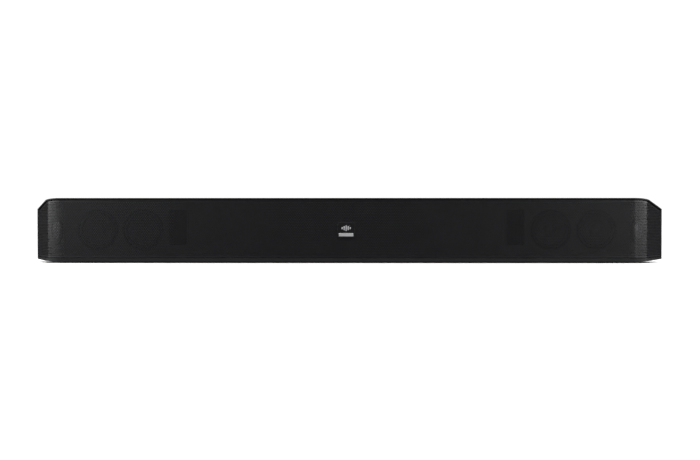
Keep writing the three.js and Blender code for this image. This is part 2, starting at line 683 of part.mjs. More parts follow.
add('connector_panel', toGeometry(connectorPanel()), BLACK_PLASTIC);
add('power_inlet', toGeometry(powerInlet()), BLACK_PLASTIC);
add('power_switch_housing', toGeometry(powerSwitchHousing()), BLACK_PLASTIC);
const rocker = add('power_rocker', toGeometry(powerRocker()), BUTTON_PLASTIC);
rocker.position.set(SWITCH_X, ROCKER_PIVOT_Y, JACK_Z);
rocker.rotation.z = -ROCKER_TILT;
add('optical_jack', toGeometry(opticalJack()), BLACK_PLASTIC);
add('aux_jack', toGeometry(auxJack()), BLACK_PLASTIC);
add('rca_jack_block', toGeometry(rcaJackBlock()), BLACK_PLASTIC);

// ---------- Buttons on the top ----------

function buttonBoard() {
  const thickness = 1.6;
  const low = BUTTON_BOARD_Z - thickness;
  let body = box([-BUTTON_BOARD_HALF, -7, low], [BUTTON_BOARD_HALF, 7, BUTTON_BOARD_Z]);
  for (const x of Object.values(BUTTON_X)) {
    body = body.add(box([x - 3, -3, low + 1], [x + 3, 3, SWITCH_TOP_Z]));
  }
  return body;
}

function buttonCap() {
  const face = roundedRect(0, 0, BUTTON_WIDTH, BUTTON_DEPTH, 1.8);
  const cap = slab(face, BUTTON_FLANGE_Z - 0.4, BUTTON_PROUD, 2);
  const flange = roundedRect(0, 0, BUTTON_WIDTH + 2.4, BUTTON_DEPTH + 2.4, 1.8);
  return cap.add(slab(flange, BUTTON_FLANGE_Z - BUTTON_FLANGE, BUTTON_FLANGE_Z));
}

add('button_board', toGeometry(buttonBoard()), CIRCUIT_BOARD, topFrame);
for (const [label, x] of Object.entries(BUTTON_X)) {
  const cap = add(`button_${label}`, toGeometry(buttonCap()), BUTTON_PLASTIC, topFrame);
  cap.position.x = x;
}

// ---------- Feet, wall plates and screws ----------

const FOOT_PLACES = { front_left: [-1, -1], front_right: [1, -1], back_left: [-1, 1], back_right: [1, 1] };
for (const [label, [right, back]] of Object.entries(FOOT_PLACES)) {
  const foot = post(right * FOOT_X, back * FOOT_Y, FOOT_RADIUS, 0, BASE_Z + 0.7, 12);
  add(`foot_${label}`, toGeometry(foot), RUBBER);
}

function keyholePlate(x) {
  const [width, height, thickness] = KEYHOLE_PLATE;
  const front = BACK_Y - thickness;
  const blank = plate(roundedRect(x, KEYHOLE_Z, width, height, 2), front, BACK_Y, 2);
  const slot = roundedRect(x, KEYHOLE_Z + 2, 5, 22, 2.4);
  const entry = barY(x, KEYHOLE_Z - 9, 5.5, front - 1, BACK_Y + 1, 12);
  return blank.subtract(plate(slot, front - 1, BACK_Y + 1)).subtract(entry);
}

const SCREW = [[0, 0], [2.6, 0], [3.4, 0.7], [3.4, 2.2], [1.5, 2.2], [1.5, 11], [0, 11]];
for (const [side, label] of [[-1, 'left'], [1, 'right']]) {
  add(`keyhole_plate_${label}`, toGeometry(keyholePlate(side * KEYHOLE_X)), STEEL);
  SCREW_Z.forEach((z, i) => {
    const profile = SCREW.map(([r, y]) => [r, -y]);
    const name = `cabinet_screw_${i ? 'upper' : 'lower'}_${label}`;
    const screw = add(name, turned(profile, SMALL_ROUND), STEEL);
    screw.position.set(side * SCREW_X, BACK_Y - 0.3, z);
  });
}

export default soundbar;
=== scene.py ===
"""Soundbar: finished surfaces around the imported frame. Metres, +Z up, the grille faces -Y."""
import json
import math

import bmesh
import bpy
from mathutils import Matrix, Vector


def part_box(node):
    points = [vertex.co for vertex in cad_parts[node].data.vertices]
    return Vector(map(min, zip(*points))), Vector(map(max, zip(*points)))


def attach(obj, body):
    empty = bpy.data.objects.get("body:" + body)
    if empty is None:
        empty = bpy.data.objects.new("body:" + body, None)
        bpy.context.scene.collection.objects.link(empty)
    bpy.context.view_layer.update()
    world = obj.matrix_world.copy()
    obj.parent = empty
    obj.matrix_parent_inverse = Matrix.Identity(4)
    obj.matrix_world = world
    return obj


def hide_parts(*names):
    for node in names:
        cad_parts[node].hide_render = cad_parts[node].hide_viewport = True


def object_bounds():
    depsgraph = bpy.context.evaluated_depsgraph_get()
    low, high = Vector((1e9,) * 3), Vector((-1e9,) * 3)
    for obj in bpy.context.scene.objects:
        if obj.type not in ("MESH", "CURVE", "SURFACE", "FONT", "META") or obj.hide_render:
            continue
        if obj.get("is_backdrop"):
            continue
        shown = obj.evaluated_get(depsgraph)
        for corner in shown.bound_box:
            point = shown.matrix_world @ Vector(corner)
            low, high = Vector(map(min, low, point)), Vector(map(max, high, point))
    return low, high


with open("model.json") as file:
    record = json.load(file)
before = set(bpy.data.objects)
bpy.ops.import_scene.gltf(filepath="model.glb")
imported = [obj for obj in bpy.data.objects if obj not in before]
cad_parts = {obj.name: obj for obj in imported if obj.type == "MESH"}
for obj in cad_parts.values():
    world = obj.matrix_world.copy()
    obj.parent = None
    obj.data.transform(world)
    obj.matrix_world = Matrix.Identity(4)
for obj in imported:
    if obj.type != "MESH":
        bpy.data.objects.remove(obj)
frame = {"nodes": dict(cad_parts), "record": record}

MM = 0.001
CAD_LOW, CAD_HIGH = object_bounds()
SLOT_OF = {part["node"]: part["material_slot"] for part in frame["record"]["subparts"]}

# ---------- Shape of the cabinet, as the frame has it ----------

SPLAY = math.radians(22.5)  # the ends open out towards the back
TOP_TILT = math.radians(10)  # the top falls towards the back
GRILLE_RADIUS = 24.4 * MM  # outside of the sheet at the upright corners
GRILLE_LOW, GRILLE_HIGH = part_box("grille")
BUTTON_Y = 4 * MM  # middle of the row of buttons
CORNER_Y = GRILLE_LOW.y + GRILLE_RADIUS
CORNER_X = GRILLE_HIGH.x - GRILLE_RADIUS / math.cos(SPLAY) - (GRILLE_HIGH.y - CORNER_Y) * math.tan(SPLAY)
FRONT_Y = CAD_LOW.y


def top_z(y):
    """Height of the cabinet's sloping top at depth y."""
    return CAD_HIGH.z - (y - FRONT_Y) * math.tan(TOP_TILT)


def centre(node):
    low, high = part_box(node)
    return (low + high) / 2


# ---------- Materials ----------


def material(name, colour, roughness, metallic=0.0, specular=0.5, grain=0.0, grain_mm=0.5,
             mottle=0.0, wear=0.0, brushed=0.0, coat=0.0):
    """A painted, moulded or metal surface with its own grain, tone and roughness variation.

    grain is the bump height in mm at the size grain_mm, mottle how far tone and gloss wander,
    wear how much paler the edges are, and brushed a bump drawn out along X."""
    made = bpy.data.materials.new(name)
    made.use_nodes = True
    nodes, links = made.node_tree.nodes, made.node_tree.links
    shader = nodes["Principled BSDF"]
    shader.inputs["Metallic"].default_value = metallic
    shader.inputs["Specular IOR Level"].default_value = specular
    shader.inputs["Coat Weight"].default_value = coat
    shader.inputs["Coat Roughness"].default_value = 0.12
    place = nodes.new("ShaderNodeTexCoord")

    def noise(size_mm, detail, stretch=None):
        texture = nodes.new("ShaderNodeTexNoise")
        texture.inputs["Scale"].default_value = 1 / (size_mm * MM)
        texture.inputs["Detail"].default_value = detail
        source = place.outputs["Object"]
        if stretch:
            mapping = nodes.new("ShaderNodeMapping")
            mapping.inputs["Scale"].default_value = stretch
            links.new(source, mapping.inputs["Vector"])
            source = mapping.outputs["Vector"]
        links.new(source, texture.inputs["Vector"])
        return texture.outputs["Fac"]

    def spread(value, low, high):
        step = nodes.new("ShaderNodeMapRange")
        step.inputs["From Min"].default_value = 0.3
        step.inputs["From Max"].default_value = 0.7
        step.inputs["To Min"].default_value = low
        step.inputs["To Max"].default_value = high
        links.new(value, step.inputs["Value"])
        return step.outputs["Result"]

    broad = noise(35, 3)
    fine = noise(4, 4)
    tone = nodes.new("ShaderNodeMix")
    tone.data_type = "RGBA"
    tone.inputs["A"].default_value = (*(c * (1 - mottle) for c in colour), 1)
    tone.inputs["B"].default_value = (*(min(1, c * (1 + mottle)) for c in colour), 1)
    links.new(spread(broad, 0, 1), tone.inputs["Factor"])
    shown = tone.outputs["Result"]
    if wear:
        edges = nodes.new("ShaderNodeNewGeometry")
        mask = nodes.new("ShaderNodeMapRange")
        mask.inputs["From Min"].default_value = 0.52
        mask.inputs["From Max"].default_value = 0.62
        links.new(edges.outputs["Pointiness"], mask.inputs["Value"])
        broken = nodes.new("ShaderNodeMath")
        broken.operation = "MULTIPLY"
        links.new(mask.outputs["Result"], broken.inputs[0])
        links.new(spread(fine, 0.2, 1), broken.inputs[1])
        paler = nodes.new("ShaderNodeMix")
        paler.data_type = "RGBA"
        links.new(broken.outputs["Value"], paler.inputs["Factor"])
        links.new(shown, paler.inputs["A"])
        paler.inputs["B"].default_value = (*(min(1, c * (1 + wear) + 0.01 * wear) for c in colour), 1)
        shown = paler.outputs["Result"]
    links.new(shown, shader.inputs["Base Color"])
    links.new(spread(fine, max(0.02, roughness * (1 - mottle)), min(1, roughness * (1 + mottle))),
              shader.inputs["Roughness"])
    if grain or brushed:
        bump = nodes.new("ShaderNodeBump")
        bump.inputs["Strength"].default_value = 0.6
        bump.inputs["Distance"].default_value = max(grain, brushed) * MM
        stretch = (0.04, 1, 1) if brushed else None
        links.new(noise(grain_mm, 2, stretch), bump.inputs["Height"])
        links.new(bump.outputs["Normal"], shader.inputs["Normal"])
    return made


LOOKS = {
    "cabinet_plastic": material("cabinet_plastic", (0.007, 0.007, 0.008), 0.5, specular=0.28, grain=0.05,
                                grain_mm=0.6, mottle=0.12, wear=0.4),
    "baffle_plastic": material("baffle_plastic", (0.06, 0.06, 0.062), 0.6, grain=0.04, grain_mm=0.8,
                               mottle=0.15),
    "grille_paint": material("grille_paint", (0.005, 0.005, 0.0067), 0.32, grain=0.01, grain_mm=0.35,
                             mottle=0.08),
    "badge_plate": material("badge_plate", (0.006, 0.006, 0.007), 0.2, grain=0.004, grain_mm=0.5,
                            mottle=0.1, coat=0.6),
    "badge_metal": material("badge_metal", (0.75, 0.75, 0.77), 0.42, metallic=1, grain=0.002,
                            grain_mm=0.5, mottle=0.05),
    "driver_steel": material("driver_steel", (0.006, 0.006, 0.007), 0.55, grain=0.02, grain_mm=0.5,
                             mottle=0.15),
    "surround_rubber": material("surround_rubber", (0.03, 0.03, 0.031), 0.5, grain=0.02, grain_mm=0.7,
                                mottle=0.15),
    "cone_paper": material("cone_paper", (0.075, 0.075, 0.078), 0.7, grain=0.12, grain_mm=1.1, mottle=0.25),
    "motor_ferrite": material("motor_ferrite", (0.04, 0.04, 0.042), 0.6, grain=0.05, grain_mm=0.8,
                              mottle=0.2),
    "dome_silk": material("dome_silk", (0.32, 0.32, 0.33), 0.3, grain=0.03, grain_mm=0.3, mottle=0.15),
    "plate_steel": material("plate_steel", (0.42, 0.42, 0.44), 0.32, metallic=1, brushed=0.02,
                            grain_mm=0.25, mottle=0.2),
    "screw_steel": material("screw_steel", (0.05, 0.05, 0.052), 0.35, metallic=0.8, grain=0.01,
                            grain_mm=0.3, mottle=0.2, wear=1.0),
    "foot_rubber": material("foot_rubber", (0.018, 0.018, 0.018), 0.75, grain=0.05, grain_mm=0.6,
                            mottle=0.2),
    "circuit_board": material("circuit_board", (0.02, 0.09, 0.045), 0.4, grain=0.03, grain_mm=1.2,
                              mottle=0.2),
    "heatsink_aluminium": material("heatsink_aluminium", (0.5, 0.5, 0.52), 0.4, metallic=1, brushed=0.02,
                                   grain_mm=0.3, mottle=0.1),
    "transformer_copper": material("transformer_copper", (0.42, 0.2, 0.1), 0.35, metallic=0.7, grain=0.05,
                                   grain_mm=0.4, mottle=0.2),
    "panel_plastic": material("panel_plastic", (0.02, 0.02, 0.021), 0.55, grain=0.05, grain_mm=0.5,
                              mottle=0.12),
    "jack_plastic": material("jack_plastic", (0.012, 0.012, 0.013), 0.3, grain=0.01, grain_mm=0.6,
                             mottle=0.12, wear=0.5),
    "button_plastic": material("button_plastic", (0.028, 0.028, 0.03), 0.42, grain=0.02, grain_mm=0.4,
                               mottle=0.1, wear=0.5),
    "jack_metal": material("jack_metal", (0.83, 0.62, 0.3), 0.22, metallic=1, grain=0.01, grain_mm=0.5,
                           mottle=0.15),
    "jack_red": material("jack_red", (0.45, 0.02, 0.02), 0.35, grain=0.01, grain_mm=0.5, mottle=0.1),
    "jack_white": material("jack_white", (0.72, 0.72, 0.69), 0.35, grain=0.01, grain_mm=0.5, mottle=0.06),
    "mark_print": material("mark_print", (0.42, 0.42, 0.43), 0.6, grain=0.01, grain_mm=0.3, mottle=0.15),
}

for node_name, node in frame["nodes"].items():
    node.data.materials.clear()
    node.data.materials.append(LOOKS[SLOT_OF[node_name]])

# ---------- Mesh helpers ----------


def piece(name, mesh, slot, body="cabinet", stands_for=(), smooth=35, flat=False):
    """Puts a finished mesh in the scene, on its body and with its finish.

    Edges sharper than smooth degrees stay sharp, and a flat piece has no smoothed edges at all."""
    made = bpy.data.objects.new(name, mesh)
    bpy.context.scene.collection.objects.link(made)
    mesh.materials.clear()
    mesh.materials.append(LOOKS[slot])
    for face in mesh.polygons:
        face.use_smooth = not flat
    if smooth and not flat:
        mesh.set_sharp_from_angle(angle=math.radians(smooth))
    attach(made, body)
    if stands_for:
        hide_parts(*stands_for)
    return made


def softened(node, width_mm, segments=2, body="cabinet", slot=None):
    """A copy of a CAD node with small rounded edges, shown in its place."""
    mesh = frame["nodes"][node].data.copy()
    work = bmesh.new()
    work.from_mesh(mesh)
    bmesh.ops.remove_doubles(work, verts=work.verts, dist=1e-6)
    bmesh.ops.dissolve_limit(work, angle_limit=math.radians(0.4), verts=work.verts, edges=work.edges)
    work.to_mesh(mesh)
    work.free()
    made = piece(f"{node}_finished", mesh, slot or SLOT_OF[node], body, stands_for=[node], smooth=None)
    bevel = made.modifiers.new("rounded_edges", "BEVEL")
    bevel.width = width_mm * MM
    bevel.segments = segments
    bevel.limit_method = "ANGLE"
    bevel.angle_limit = math.radians(32)
    bevel.use_clamp_overlap = True
    made.modifiers.new("even_shading", "WEIGHTED_NORMAL")
    return made


def mesh_of(points, faces):
    mesh = bpy.data.meshes.new("shape")
    mesh.from_pydata(points, [], faces)
    mesh.update()
    return mesh


def outward(mesh):
    """Turns all the faces of a closed mesh to point out."""
    work = bmesh.new()
    work.from_mesh(mesh)
    bmesh.ops.recalc_face_normals(work, faces=work.faces)
    work.to_mesh(mesh)
    work.free()
    return mesh


def turned(profile, place, sides=72):
    """A closed mesh turned about the local Y axis from [radius, depth] pairs in mm, then placed.

    A profile that starts on the axis also ends there; any other closes on itself."""
    on_axis = profile[0][0] == 0
    points, faces, rings = [], [], []
    for radius, depth in profile:
        if radius == 0:
            rings.append([len(points)] * sides)
            points.append((0, depth * MM, 0))
            continue
        rings.append(list(range(len(points), len(points) + sides)))
        for i in range(sides):
            turn = 2 * math.pi * i / sides
            points.append((radius * MM * math.sin(turn), depth * MM, radius * MM * math.cos(turn)))
    pairs = list(zip(rings, rings[1:]))
    if not on_axis:
        pairs.append((rings[-1], rings[0]))
    for near, far in pairs:
        for i in range(sides):
            j = (i + 1) % sides
            corners = list(dict.fromkeys([near[i], near[j], far[j], far[i]]))
            if len(corners) > 2:
                faces.append(corners)
    mesh = outward(mesh_of(points, faces))
    mesh.transform(place)
    return mesh


def arc(x, y, radius, start, end, steps):
    """Points on a circle, angles in degrees."""
    turns = [math.radians(start + (end - start) * i / steps) for i in range(steps + 1)]
    return [(x + radius * math.cos(t), y + radius * math.sin(t)) for t in turns]


def rounded(x, y, width, height, radius, steps=6):
    """Outline of a rounded rectangle about (x, y)."""
    dx, dy = width / 2 - radius, height / 2 - radius
    corners = [(x + dx, y - dy, -90), (x + dx, y + dy, 0), (x - dx, y + dy, 90), (x - dx, y - dy, 180)]
    return [point for cx, cy, start in corners for point in arc(cx, cy, radius, start, start + 90, steps)]


def circle(x, y, radius, steps=40):
    return arc(x, y, radius, 0, 360, steps)[:-1]


def plate(loops, thickness, place, edge=0.0):
    """A flat plate cut to closed outlines in mm, the first outside and any others holes.

    It lies in the local XY plane with its back at Z = 0 and its face at thickness, and its edges are
    rounded by edge mm. Outlines that lie apart make separate plates in one mesh."""
    curve = bpy.data.curves.new("outline", "CURVE")
    curve.dimensions = "2D"
    curve.fill_mode = "BOTH"
    curve.extrude = (thickness / 2 - edge) * MM
    curve.bevel_depth = edge * MM
    curve.bevel_resolution = 2
    curve.offset = -edge * MM
    for loop in loops:
        spline = curve.splines.new("POLY")
        spline.points.add(len(loop) - 1)
        spline.use_cyclic_u = True
        for point, (x, y) in zip(spline.points, loop):
            point.co = (x * MM, y * MM, 0, 1)
    holder = bpy.data.objects.new("outline", curve)
    bpy.context.scene.collection.objects.link(holder)
    evaluated = holder.evaluated_get(bpy.context.evaluated_depsgraph_get())
    mesh = bpy.data.meshes.new_from_object(evaluated)
    bpy.data.objects.remove(holder)
    bpy.data.curves.remove(curve)
    work = bmesh.new()
    work.from_mesh(mesh)
    bmesh.ops.remove_doubles(work, verts=work.verts, dist=1e-6)
    bmesh.ops.recalc_face_normals(work, faces=work.faces)
    work.to_mesh(mesh)
    work.free()
    mesh.transform(place @ Matrix.Translation((0, 0, thickness / 2 * MM)))
    return mesh


def front_place(x, y, z):
    """Local X to +X, local Y to +Z, local Z out of the front."""
    return Matrix.Translation((x, y, z)) @ Matrix.Rotation(math.pi / 2, 4, "X")


def back_place(x, y, z):
    """Seen from behind: local X to -X, local Y to +Z, local Z out of the back."""
    about_face = Matrix.Rotation(math.pi, 4, "Z")
    return Matrix.Translation((x, y, z)) @ about_face @ Matrix.Rotation(math.pi / 2, 4, "X")


def joined(*meshes):
    """One mesh from several."""
    work = bmesh.new()
    for mesh in meshes:
        work.from_mesh(mesh)
        bpy.data.meshes.remove(mesh)
    whole = bpy.data.meshes.new("shape")
    work.to_mesh(whole)
    work.free()
    return whole


# ---------- Grille: one perforated sheet bent round both corners ----------

HOLE_PITCH = 2.6 * MM
HOLE_RADIUS = 0.85 * MM
ROW_HEIGHT = HOLE_PITCH * math.sqrt(3) / 2
GRILLE_HEM = 0.2 * MM  # added to the plain strip along the top and the bottom
PLAIN_EDGE = 1.6 * MM  # least sheet left between a hole and the sloping top
GRILLE_SHEET = 0.9 * MM
CORNER_TURN = math.pi / 2 - SPLAY
CORNER_LENGTH = GRILLE_RADIUS * CORNER_TURN
SIDE_LENGTH = (GRILLE_HIGH.y - (CORNER_Y - GRILLE_RADIUS * math.sin(SPLAY))) / math.cos(SPLAY)
HALF_LENGTH = CORNER_X + CORNER_LENGTH + SIDE_LENGTH


def along_grille(s):
    """Plan point at distance s along the sheet from the middle of the front, and its outward normal."""
    side = -1 if s < 0 else 1
    s = abs(s)
    if s <= CORNER_X:
        return Vector((side * s, GRILLE_LOW.y, 0)), Vector((0, -1, 0))
    if s <= CORNER_X + CORNER_LENGTH:
        turn = (s - CORNER_X) / GRILLE_RADIUS
        normal = Vector((side * math.sin(turn), -math.cos(turn), 0))
        return Vector((side * CORNER_X, CORNER_Y, 0)) + normal * GRILLE_RADIUS, normal
    normal = Vector((side * math.cos(SPLAY), -math.sin(SPLAY), 0))
    end = Vector((side * CORNER_X, CORNER_Y, 0)) + normal * GRILLE_RADIUS
    way = Vector((side * math.sin(SPLAY), math.cos(SPLAY), 0))
    return end + way * (s - CORNER_X - CORNER_LENGTH), normal


def grille_top(y):
    return GRILLE_HIGH.z - (y - GRILLE_LOW.y) * math.tan(TOP_TILT)


def grille_section(start, end):
    """Mesh of the sheet between two distances, a cell of the staggered pattern at a time."""
    rows = int((GRILLE_HIGH.z - GRILLE_LOW.z) / ROW_HEIGHT)
    margin = (GRILLE_HIGH.z - GRILLE_LOW.z - rows * ROW_HEIGHT) / 2 + GRILLE_HEM
    half = HOLE_PITCH / 2
    last = int(HALF_LENGTH / half)
    points, faces, shared = [], [], {}

    def place(s, z):
        s = max(-HALF_LENGTH, min(HALF_LENGTH, s))
        point, _ = along_grille(s)
        return (point.x, point.y, max(GRILLE_LOW.z, min(z, grille_top(point.y))))

    def level(row):
        if row <= 0:
            return GRILLE_LOW.z
        if row > rows:
            return GRILLE_HIGH.z
        return GRILLE_LOW.z + margin + (row - 0.5) * (ROW_HEIGHT - GRILLE_HEM * 2 / rows)

    def corner(column, row):
        column = max(-last - 1, min(last + 1, column))
        key = (column, row)
        if key not in shared:
            shared[key] = len(points)
            points.append(place(column * half, level(row)))
        return shared[key]

    for row in range(rows + 1):
        for column in range(-last - 1, last + 2):
            if (column + row) % 2 or not start <= column * half < end:
                continue
            rim = [corner(column + dx, row + dz) for dx, dz in
                   ((-1, 0), (0, 0), (1, 0), (1, 1), (0, 1), (-1, 1))]
            spots = [points[n] for n in rim]
            if max(p[2] for p in spots) - min(p[2] for p in spots) < 1e-5 or len(set(rim)) < 3:
                continue
            middle_s = column * half
            middle_z = (level(row) + level(row + 1)) / 2
            edge_point, _ = along_grille(max(-HALF_LENGTH, min(HALF_LENGTH, middle_s)))
            room_above = grille_top(edge_point.y) - middle_z
            plain = row in (0, rows) or abs(column) > last - 2 or room_above < HOLE_RADIUS + PLAIN_EDGE
            if plain:
                flat = list(dict.fromkeys(rim))
                if len(flat) > 2:
                    faces.append(flat)
                continue
            hole = []
            for i in range(8):
                turn = math.radians(225 + 45 * i)
                hole.append(len(points))
                points.append(place(middle_s + HOLE_RADIUS * math.cos(turn),
                                    middle_z + HOLE_RADIUS * math.sin(turn)))
            faces.append([rim[0], rim[1], hole[1], hole[0]])
            faces.append([rim[1], rim[2], hole[2], hole[1]])
            faces.append([rim[2], rim[3], hole[4], hole[3], hole[2]])
            faces.append([rim[3], rim[4], hole[5], hole[4]])
            faces.append([rim[4], rim[5], hole[6], hole[5]])
            faces.append([rim[5], rim[0], hole[0], hole[7], hole[6]])
    mesh = mesh_of(points, faces)
    work = bmesh.new()
    work.from_mesh(mesh)
    bmesh.ops.remove_doubles(work, verts=work.verts, dist=2e-6)
    bmesh.ops.dissolve_degenerate(work, edges=work.edges, dist=1e-6)
    work.to_mesh(mesh)
    work.free()
    return mesh


THIRD = CORNER_X / 3
SECTIONS = {"end_left": (-1, -CORNER_X), "left": (-CORNER_X, -THIRD), "middle": (-THIRD, THIRD),
            "right": (THIRD, CORNER_X), "end_right": (CORNER_X, 1)}
for label, (start, end) in SECTIONS.items():
    sheet = piece(f"grille_sheet_{label}", grille_section(start, end), "grille_paint",
                  stands_for=["grille"], flat=True)
    thick = sheet.modifiers.new("sheet", "SOLIDIFY")
    thick.thickness = GRILLE_SHEET
    thick.offset = -1

# ---------- Cabinet, rear panel and its sockets ----------

softened("rear_cabinet", 0.45)
softened("connector_panel", 0.3)
softened("power_inlet", 0.5)
softened("remote_receiver_board", 0.2, slot="baffle_plastic")
softened("power_switch_housing", 0.4)
softened("optical_jack", 0.3)
for side in ("left", "right"):
    softened(f"keyhole_plate_{side}", 0.25)

PRINT_THICKNESS = 0.1  # mm, of every printed mark
JACK_Z = centre("power_inlet").z
PANEL_FACE_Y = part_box("connector_panel")[1].y

# Two round contacts stand in the figure-eight inlet.
inlet = centre("power_inlet")
PIN = [(0, 0), (1.25, 0), (1.25, 7.6), (0.8, 8.1), (0, 8.1)]
PIN_ROOT_Y = PANEL_FACE_Y - 11.4 * MM
PIN_SPREAD = 4 * MM
pins = [turned(PIN, Matrix.Translation((inlet.x + x, PIN_ROOT_Y, JACK_Z)), 24)
        for x in (-PIN_SPREAD, PIN_SPREAD)]
piece("power_inlet_contacts", joined(*pins), "jack_metal")


def jack_block(node, reach_mm):
    """The moulded block behind the panel, for a node whose collars stand in front of it."""
    low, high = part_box(node)
    middle = (low + high) / 2
    depth = PANEL_FACE_Y - 2.1 * MM - low.y
    outline = rounded(0, 0, (high.x - low.x) / MM, (high.z - low.z) / MM, 0.8)
    block = plate([outline], depth / MM, back_place(middle.x, low.y, middle.z), 0.3)
    collars = [turned([(1.8, -4), (4.1, -4), (4.1, reach_mm - 0.3), (3.8, reach_mm), (1.8, reach_mm)],
                      Matrix.Translation((x, PANEL_FACE_Y, JACK_Z)), 40) for x in JACKS[node]]
    return joined(block, *collars)


rca_low, rca_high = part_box("rca_jack_block")
JACKS = {"rca_jack_block": (rca_high.x - 7 * MM, rca_low.x + 7 * MM), "aux_jack": (centre("aux_jack").x,)}
for node, reach in (("rca_jack_block", 0.9), ("aux_jack", 0.4)):
    piece(f"{node}_moulding", jack_block(node, reach), "jack_plastic", stands_for=[node])
for x, slot, label in zip(JACKS["rca_jack_block"], ("jack_white", "jack_red"), ("left", "right")):
    at = Matrix.Translation((x, PANEL_FACE_Y, JACK_Z))
    barrel = [(3.3, 0.6), (4.0, 0.6), (4.0, 7.2), (3.7, 7.6), (3.3, 7.6)]
    insulator = [(1.7, 0.5), (3.35, 0.5), (3.35, 6.6), (2.9, 6.9), (1.9, 6.9), (1.7, 6.6)]
    ring = [(4.05, 0), (5.0, 0), (5.0, 0.7), (4.8, 0.9), (4.05, 0.9)]
    piece(f"rca_barrel_{label}", turned(barrel, at, 48), "jack_metal")
    piece(f"rca_insulator_{label}", joined(turned(insulator, at, 40), turned(ring, at, 48)), slot)
AUX_COLLAR = [(1.75, 0.3), (3.1, 0.3), (3.1, 0.8), (2.9, 1), (1.95, 1), (1.75, 0.8)]
aux_at = Matrix.Translation((JACKS["aux_jack"][0], PANEL_FACE_Y, JACK_Z))
piece("aux_collar", turned(AUX_COLLAR, aux_at, 40), "jack_metal")

# Plain pictures printed by the sockets: an arrow in by each input and a wave by the mains inlet.
ARROW = [(-0.45, 2.2), (-0.45, 0.2), (-1.5, 0.2), (0, -1.7), (1.5, 0.2), (0.45, 0.2), (0.45, 2.2)]
WAVE = [(x / 4, 0.9 * math.sin(x * math.pi / 8) + 0.25) for x in range(-8, 9)]
WAVE += [(x / 4, 0.9 * math.sin(x * math.pi / 8) - 0.25) for x in range(8, -9, -1)]
prints = [(ARROW, centre("optical_jack").x), (ARROW, JACKS["aux_jack"][0]),
          (ARROW, sum(JACKS["rca_jack_block"]) / 2), (WAVE, inlet.x)]
PRINT_Y = PANEL_FACE_Y - 0.03 * MM
PRINT_Z = JACK_Z + 15.5 * MM
printed = [plate([shape], PRINT_THICKNESS, back_place(x, PRINT_Y, PRINT_Z)) for shape, x in prints]
piece("panel_prints", joined(*printed), "mark_print")

# Rocker: a line and a ring tell on from off. Its faces slope away from its pivot.
softened("power_rocker", 0.4, body="power_rocker")
switch = centre("power_switch_housing")
ROCKER_PIVOT = Matrix.Translation((switch.x, PANEL_FACE_Y - 1.2 * MM, JACK_Z))
ROCKER_TURN = ROCKER_PIVOT @ Matrix.Rotation(math.radians(-7), 4, "Z")
ROCKER_SLOPE = math.atan2(1.4, 7.3)
marks = []
for side, loops in ((1, [rounded(0, 0, 0.6, 4, 0.25)]), (-1, [circle(0, 0, 1.9), circle(0, 0, 1.35)])):
    slope = Matrix.Rotation(side * ROCKER_SLOPE, 4, "Z")
    face = Matrix.Translation((side * 4.4 * MM, 3.53 * MM, 0)) @ slope
    marks.append(plate(loops, PRINT_THICKNESS, ROCKER_TURN @ face @ back_place(0, 0, 0)))
piece("power_rocker_marks", joined(*marks), "mark_print", "power_rocker")

# Screws with cross slots, and feet with a ribbed sole.
CROSS = [(-0.35, -1.9), (0.35, -1.9), (0.35, -0.35), (1.9, -0.35), (1.9, 0.35), (0.35, 0.35), (0.35, 1.9),
         (-0.35, 1.9), (-0.35, 0.35), (-1.9, 0.35), (-1.9, -0.35), (-0.35, -0.35)]
SCREW = [(0, -11), (1.1, -11), (1.5, -10.2), (1.5, -2.2), (3.3, -2.2), (3.4, -2.1), (3.4, -1.3),
         (3.1, -0.85), (0, -0.85)]
SOLE = [(0, 0.5), (1.6, 0.5), (2, 0.05), (3, 0.05), (3.4, 0.5), (4.2, 0.5), (4.6, 0.05), (5.6, 0.05),
        (6, 0.5), (6.4, 0.5), (6.8, 0), (7.5, 0.1), (8, 0.7)]
UPRIGHT = Matrix.Rotation(math.pi / 2, 4, "X")
for side in ("left", "right"):
    for height in ("lower", "upper"):
        node = f"cabinet_screw_{height}_{side}"
        low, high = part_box(node)
        at = Matrix.Translation(((low.x + high.x) / 2, high.y, (low.z + high.z) / 2))
        head = plate([circle(0, 0, 3.05), CROSS], 0.9, at @ back_place(0, -0.9 * MM, 0), 0.12)
        piece(f"{node}_finished", joined(turned(SCREW, at, 40), head), "screw_steel", stands_for=[node])
    for end in ("front", "back"):
        node = f"foot_{end}_{side}"
        middle = centre(node)
        at = Matrix.Translation((middle.x, middle.y, 0)) @ UPRIGHT
        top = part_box(node)[1].z / MM
        foot = turned([*SOLE, (8, top), (0, top)], at, 56)
        piece(f"{node}_finished", foot, "foot_rubber", stands_for=[node])

# ---------- Buttons, each printed with a plain symbol ----------


def power_sign():
    ring = arc(0, -0.1, 2.1, 130, 410, 30) + arc(0, -0.1, 1.6, 410, 130, 30)
    return [ring, rounded(0, 1.4, 0.5, 2.4, 0.2)]


